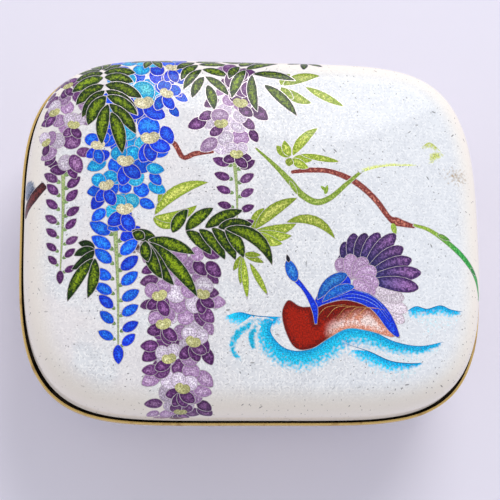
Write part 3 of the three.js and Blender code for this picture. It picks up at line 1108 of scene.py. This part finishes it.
def make_rims(gilt, gap_shadow_brass, foot_gilt):
    """The box's gilt rim with its seat and collar, the lid's band, and the foot. The seat and the band are
    near-black: painted shadow in the gap between lid and rim.
    """
    box, lid = BOX_SHORT_SIDE_POWER, LID_SHORT_SIDE_POWER
    crest = BEAD_WIDTH / 2
    collar_outer = WALL / math.cos(LEAN) + FIT_CLEARANCE
    collar_inner = collar_outer + COLLAR_THICKNESS
    bead_z = SEAT_Z + BEAD_HEIGHT - crest
    # The seat's rows take the near-black brass: painted shadow in the gap under the lid's edge.
    gap_shadow_rows = range(2 * ROUNDING_STEPS - 1, 2 * ROUNDING_STEPS + 3)
    rim = band_piece("box_rim_gilt", [
        *rounding(box, crest - RIM_PROUD, BOX_LIP_Z + crest, crest, 270, 180),
        *rounding(box, crest - RIM_PROUD, bead_z, crest, 180, 0),
        (box, BEAD_WIDTH - RIM_PROUD, SEAT_Z),
        (lid, SEAT_SHADE, SEAT_Z),
        (lid, collar_outer, SEAT_Z),
        (lid, collar_outer, RIM_TOP_Z),
        (lid, collar_inner, RIM_TOP_Z),
        (lid, collar_inner, SEAT_Z - COLLAR_DROP),
        (lid, collar_outer, SEAT_Z - COLLAR_DROP),
        (lid, collar_outer, BOX_LIP_Z),
    ], [gilt, gap_shadow_brass], WOBBLE, gap_shadow_rows)
    edge = WALL / math.cos(LEAN)
    band = band_piece("lid_rim_band", [
        (lid, EASING, SEAT_Z),
        (lid, 0.0, SEAT_Z + EASING),
        (lid, 0.0, LID_LIP_Z),
        (lid, edge, LID_LIP_Z),
        (lid, edge, SEAT_Z + EASING),
        (lid, edge - EASING, SEAT_Z),
    ], [gap_shadow_brass])
    outer = box_shell.edge_inset + FOOT_SETBACK
    inner = outer + FOOT_WIDTH
    foot = band_piece("foot_rim_gilt", [
        *rounding(box, outer + FOOT_ROUNDING, FOOT_ROUNDING, FOOT_ROUNDING, 270, 180),
        (box, outer, FOOT_HEIGHT),
        (box, inner, FOOT_HEIGHT),
        *rounding(box, inner - FOOT_ROUNDING, FOOT_ROUNDING, FOOT_ROUNDING, 360, 270),
    ], [foot_gilt])
    return rim, band, foot


# Materials.


class Nodes:
    """A material's or world's nodes, added by short calls that take numbers, colours or sockets."""

    def __init__(self, owner):
        owner.use_nodes = True
        self.owner, self.tree = owner, owner.node_tree

    def feed(self, socket, value):
        """Links a socket to another one, or sets it. A colour is set as opaque."""
        if isinstance(value, bpy.types.NodeSocket):
            self.tree.links.new(value, socket)
        else:
            socket.default_value = (*value, 1.0) if socket.type == "RGBA" else value

    def add(self, kind, values, **settings):
        node = self.tree.nodes.new("ShaderNode" + kind)
        for key, value in settings.items():
            setattr(node, key, value)
        for socket, value in values.items():
            self.feed(node.inputs[socket], value)
        return node

    def attribute(self, name, output="Vector"):
        return self.add("Attribute", {}, attribute_name=name).outputs[output]

    def parts(self, vector):
        """The three parts of a vector, each a socket."""
        return self.add("SeparateXYZ", {0: vector}).outputs

    def maths(self, operation, first, second=0.0, clamp=False):
        return self.add("Math", {0: first, 1: second}, operation=operation, use_clamp=clamp).outputs[0]

    def vector(self, operation, first, second=(0.0, 0.0, 0.0), output="Vector"):
        return self.add("VectorMath", {0: first, 1: second}, operation=operation).outputs[output]

    def scale(self, vector, factor):
        return self.add("VectorMath", {0: vector, "Scale": factor}, operation="SCALE").outputs[0]

    def ramp(self, value, low, high, start=0.0, end=1.0, form="SMOOTHSTEP"):
        """A step from start at low to end at high."""
        values = {"Value": value, "From Min": low, "From Max": high, "To Min": start, "To Max": end}
        return self.add("MapRange", values, interpolation_type=form).outputs[0]

    def mix(self, share, first, second):
        return self.add("Mix", {0: share, 6: first, 7: second}, data_type="RGBA").outputs[2]

    def noise(self, place, scale, detail=2.0, dimensions="2D"):
        values = {"Vector": place, "Scale": scale, "Detail": detail}
        return self.add("TexNoise", values, noise_dimensions=dimensions).outputs[0]

    def flecks(self, place, spacing, size, shift, keep):
        """Short strokes at random places and angles, one for each cell of about the spacing."""
        cell = self.scale(self.vector("ADD", place, (shift, shift, 0)), 1 / spacing)
        spots = self.add("TexVoronoi", {"Vector": cell, "Scale": 1.0}, voronoi_dimensions="2D", feature="F1")
        away = self.vector("SUBTRACT", cell, spots.outputs["Position"])
        chance = self.add("SeparateColor", {0: spots.outputs["Color"]})
        angle = self.maths("MULTIPLY", chance.outputs[0], 2 * math.pi)
        turned = self.add("VectorRotate", {"Vector": away, "Angle": angle}, rotation_type="Z_AXIS").outputs[0]
        length, width = size
        shaped = self.vector("MULTIPLY", turned, (spacing / length, spacing / width, 0.0))
        near = self.ramp(self.vector("LENGTH", shaped, output="Value"), 0.35, 0.6, 1.0, 0.0)
        return self.maths("MULTIPLY", near, self.maths("LESS_THAN", chance.outputs[1], keep))

    def finish(self, colour, roughness, metallic=0.0, coat=0.0, height=None, bump=0.0, **values):
        """Sets the shader. A height raises the base by the bump in metres, under a smooth coat."""
        values = {"Base Color": colour, "Roughness": roughness, "Metallic": metallic, "Coat Weight": coat,
                  "Coat Roughness": 0.08, **values}
        if height is not None:
            raised = {"Height": height, "Distance": bump, "Strength": 1.0}
            values["Normal"] = self.add("Bump", raised).outputs[0]
        for name, value in values.items():
            self.feed(self.tree.nodes["Principled BSDF"].inputs[name], value)
        return self.owner


def material_nodes(name):
    return Nodes(bpy.data.materials.new(name))


def silver_ground(nodes, chart):
    """Crinkled silver foil under clear glaze: pale, with fine strokes and a few black specks.

    It is painted lighter and cooler at the right, as painted light from that side; it has pinkish stains at
    the left, and turns cream towards the lip.
    """
    along, _, fall = nodes.parts(chart)
    mottle = nodes.noise(chart, 0.22, 4.0)
    grain = nodes.noise(chart, 1.3, 2.0)
    colour = nodes.mix(nodes.ramp(mottle, 0.3, 0.7), (0.75, 0.77, 0.81), (0.83, 0.85, 0.88))
    colour = nodes.mix(nodes.ramp(grain, 0.35, 0.65, 0.0, 0.16), colour, (0.60, 0.62, 0.66))
    for spacing, size, shift, keep, amount, tone in (
        (0.8, (0.6, 0.3), 3.1, 0.6, 0.42, (0.40, 0.41, 0.44)),
        (0.9, (0.9, 0.3), 17.7, 0.7, 0.75, (1.0, 1.0, 1.0)),
        (1.7, (1.4, 0.3), 57.3, 0.6, 0.8, (1.0, 1.0, 1.0)),
    ):
        strokes = nodes.flecks(chart, spacing, size, shift, keep)
        colour = nodes.mix(nodes.maths("MULTIPLY", strokes, amount), colour, tone)
    leftward = nodes.ramp(along, -50.0, 20.0, 0.55, 0.0)
    stains = nodes.maths("MULTIPLY", nodes.ramp(nodes.noise(chart, 0.07, 3.0), 0.35, 0.6), leftward)
    for share, tone in (
        (stains, (0.86, 0.79, 0.79)),
        # Painted light: lighter and cooler towards the right of the chart, as light falling from that side.
        (nodes.ramp(along, -5.0, 45.0, 0.0, 0.35), (0.86, 0.92, 1.0)),
        (nodes.ramp(fall, -0.05, 0.42, 0.0, 0.9), (0.95, 0.88, 0.78)),
    ):
        colour = nodes.mix(share, colour, tone)
    patchy = nodes.ramp(nodes.noise(chart, 0.09, 1.0), 0.35, 0.65, 0.25, 1.0)
    for spacing, size, shift, keep in (
        (1.7, (0.42, 0.26), 41.3, 0.28),
        (3.9, (0.6, 0.3), 11.3, 0.3),
        (6.1, (1.2, 0.36), 71.9, 0.2),
    ):
        specks = nodes.maths("MULTIPLY", nodes.flecks(chart, spacing, size, shift, keep), patchy)
        colour = nodes.mix(nodes.maths("MULTIPLY", specks, 0.7), colour, (0.06, 0.06, 0.065))
    return colour, grain


def enamel_material():
    """Clear and coloured enamels over the foil, polished level with the wires."""
    nodes = material_nodes("picture_enamel")
    chart = nodes.attribute("chart")
    ground, grain = silver_ground(nodes, chart)
    gap, cover, _ = nodes.parts(nodes.attribute("share"))
    speckle = nodes.noise(chart, 1.3, 4.0)
    sparkle = nodes.noise(chart, 2.6, 2.0)
    middle = nodes.maths("ADD", gap, nodes.maths("MULTIPLY", nodes.maths("SUBTRACT", speckle, 0.5), 2.6))
    edge_tone, middle_tone = (nodes.attribute(name, "Color") for name in ("deep", "light"))
    field = nodes.mix(nodes.ramp(middle, 0.15, 1.75), edge_tone, middle_tone)
    field = nodes.scale(field, nodes.ramp(sparkle, 0.3, 0.72, 0.72, 1.45))
    heaped = nodes.maths("MULTIPLY", cover, 2.2)
    grainy = nodes.maths("ADD", heaped, nodes.maths("MULTIPLY", speckle, 2.6))
    shown = nodes.maths("SUBTRACT", grainy, 1.9, clamp=True)
    glaze = {"Coat Roughness": 0.05, "Specular IOR Level": 0.1}
    return nodes.finish(nodes.mix(shown, ground, field), 0.35, coat=0.4, height=grain, bump=0.00004, **glaze)


def wire_material():
    """Silver wire, slightly rosy, ground flush with the enamel."""
    nodes = material_nodes("cell_wire")
    tarnish = nodes.noise(nodes.attribute("chart"), 0.8, 2.0)
    colour = nodes.mix(nodes.ramp(tarnish, 0.35, 0.65), (0.72, 0.66, 0.67), (0.46, 0.41, 0.43))
    return nodes.finish(colour, 0.34, 0.75)


def counter_enamel_material():
    """The plain enamel inside: pale blue-green with a fine speckle."""
    nodes = material_nodes("counter_enamel")
    chart = nodes.attribute("chart")
    cloudy = nodes.ramp(nodes.noise(chart, 0.2, 3.0), 0.3, 0.7)
    colour = nodes.mix(cloudy, (0.36, 0.56, 0.58), (0.46, 0.64, 0.64))
    colour = nodes.mix(nodes.flecks(chart, 1.3, (0.6, 0.5), 9.0, 0.5), colour, (0.72, 0.80, 0.78))
    colour = nodes.mix(nodes.flecks(chart, 2.6, (0.6, 0.5), 29.0, 0.4), colour, (0.10, 0.22, 0.28))
    return nodes.finish(colour, 0.2, coat=0.5, height=nodes.noise(chart, 0.35, 2.0), bump=0.0002)


def metal_material(name, bright, dull, worn, roughness):
    """Brass or gilding that is dull and rough where the noise says it is worn."""
    nodes = material_nodes(name)
    place = nodes.add("NewGeometry", {}).outputs["Position"]
    patches = nodes.noise(place, 260.0, 4.0, "3D")
    scratches = nodes.noise(place, 2400.0, 2.0, "3D")
    share = nodes.ramp(patches, worn - 0.1, worn + 0.1, 1.0, 0.0)
    rough = nodes.maths("ADD", nodes.maths("MULTIPLY", share, 0.25), roughness)
    return nodes.finish(nodes.mix(share, bright, dull), rough, 1.0, height=scratches, bump=0.00003)


def floor_material():
    """A plain pale surface."""
    nodes = material_nodes("pale_floor")
    soft = nodes.noise(nodes.add("NewGeometry", {}).outputs["Position"], 6.0, 2.0, "3D")
    return nodes.finish(nodes.mix(soft, (0.81, 0.785, 0.90), (0.84, 0.815, 0.925)), 0.85)


# The stage.

FRAME_PIXELS = 500
FOCAL_PIXELS = 1519.2
SENSOR = 36.0
EYE = (-40.44, -95.6, 420.18)
AIM = (-0.87, -3.26, 33.0)
ROLL = 0.0115
FLOOR_HALF = 3000
SKY_COLOUR = (0.95, 0.955, 1.0)
LAMP_PLACE = (300, 800, 840)
LAMP_WIDTH = 700
LAMP_WATTS = 5.8
LAMP_COLOUR = (1.0, 0.99, 0.97)


def stand(thing, place, back, upright):
    """Puts a camera or lamp at a place, looking away from the direction of its back."""
    right = unit(np.cross(upright, back))
    turn = np.eye(4)
    turn[:3, :3] = np.column_stack([right, np.cross(back, right), back])
    turn[:3, 3] = np.array(place) * MM
    thing.matrix_world = Matrix(turn.tolist())


def make_camera():
    """A camera at the photograph's place and angle."""
    camera = new_object("camera", bpy.data.cameras.new("camera"))
    camera.data.sensor_width = SENSOR
    camera.data.lens = SENSOR * FOCAL_PIXELS / FRAME_PIXELS
    stand(camera, EYE, unit(np.subtract(EYE, AIM)), (math.sin(ROLL), math.cos(ROLL), 0))
    bpy.context.scene.camera = camera


def make_floor():
    """A plain floor at the height of the box's foot."""
    corners = [(x * FLOOR_HALF, y * FLOOR_HALF, 0) for x, y in ((-1, -1), (1, -1), (1, 1), (-1, 1))]
    new_object("floor", new_mesh("floor", corners, [(0, 1, 2, 3)], [floor_material()]))


def make_light():
    """Soft pale light from all round, stronger from behind, and a large soft lamp behind at the right."""
    scene = bpy.context.scene
    scene.world = bpy.data.worlds.new("world")
    nodes = Nodes(scene.world)
    _, y, z = nodes.parts(nodes.add("TexCoord", {}).outputs["Generated"])
    from_behind = nodes.ramp(y, -0.7, 0.5, 0.73, 0.91, "LINEAR")
    from_above = nodes.ramp(z, 0.7, 1.0, 1.0, 0.55, "LINEAR")
    sky = nodes.tree.nodes["Background"]
    nodes.feed(sky.inputs["Color"], SKY_COLOUR)
    nodes.feed(sky.inputs["Strength"], nodes.maths("MULTIPLY", from_behind, from_above))
    lamp = bpy.data.lights.new("window", "AREA")
    lamp.shape = "DISK"
    lamp.size = LAMP_WIDTH * MM
    lamp.energy = LAMP_WATTS
    lamp.color = LAMP_COLOUR
    stand(new_object("window", lamp), LAMP_PLACE, unit(np.array(LAMP_PLACE, float)), (0, 1, 0))
    scene.view_settings.view_transform = "Standard"


# The object.


def dress():
    """Every piece, on the one body, in place of its CAD node and with its slot's finish."""
    enamels = [enamel_material(), wire_material(), counter_enamel_material()]
    gilt = metal_material("gilt_brass", (0.76, 0.54, 0.20), (0.46, 0.29, 0.11), 0.36, 0.26)
    foot_gilt = metal_material("foot_brass", (0.72, 0.51, 0.20), (0.44, 0.29, 0.12), 0.42, 0.34)
    # Darkened brass painted near-black, as painted shadow in the gap between the lid and the rim.
    gap_shadow_brass = metal_material("darkened_brass", (0.035, 0.026, 0.02), (0.015, 0.012, 0.01), 0.5, 0.6)
    lid = make_lid(enamels)
    box = make_box(enamels)
    rim, band, foot = make_rims(gilt, gap_shadow_brass, foot_gilt)
    for piece, node, slot in (
        (lid, "lid", "lid_enamel"),
        (box, "box", "box_enamel"),
        (rim, "box_rim", "gilt_brass"),
        (band, "lid_rim", "darkened_brass"),
        (foot, "foot_rim", "foot_brass"),
    ):
        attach(piece, "root")
        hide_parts(node)


make_camera()
make_floor()
make_light()
dress()
